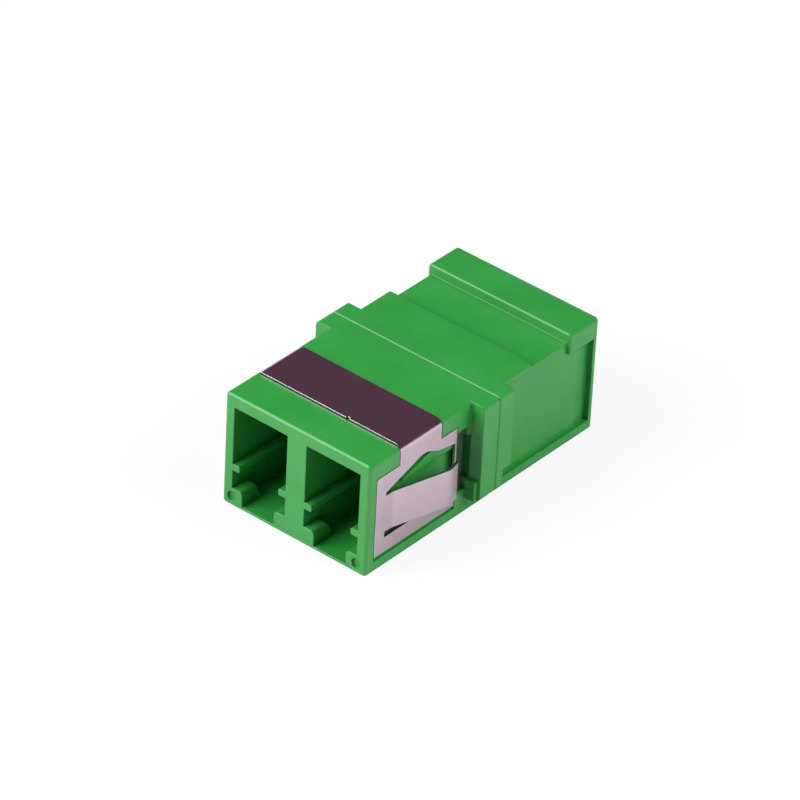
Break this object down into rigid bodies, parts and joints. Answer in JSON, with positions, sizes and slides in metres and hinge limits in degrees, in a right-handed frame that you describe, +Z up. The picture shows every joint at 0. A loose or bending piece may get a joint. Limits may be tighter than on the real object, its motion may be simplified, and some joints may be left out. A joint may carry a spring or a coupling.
{
  "type": "duplex fibre optic coupler",
  "caption": "Snap-in duplex fibre coupler: two-part moulded housing with plug ports at both ends, split alignment sleeves and a folded spring-steel panel clip.",
  "frame": {"origin": "middle of the underside of the whole part", "axes": "+X across the two ports, +Y along the mating axis away from the clip, +Z up, plug latches down"},
  "size_m": [0.0146, 0.0234, 0.0091],
  "materials": {
    "green_moulding": "satin moulded",
    "spring_steel": "rolled, bright",
    "zirconia": "polished"
  },
  "bodies": {
    "root": {"front_housing": "green_moulding", "rear_housing": "green_moulding", "panel_clip": "spring_steel", "left_alignment_sleeve": "zirconia", "right_alignment_sleeve": "zirconia"}
  },
  "joints": []
}
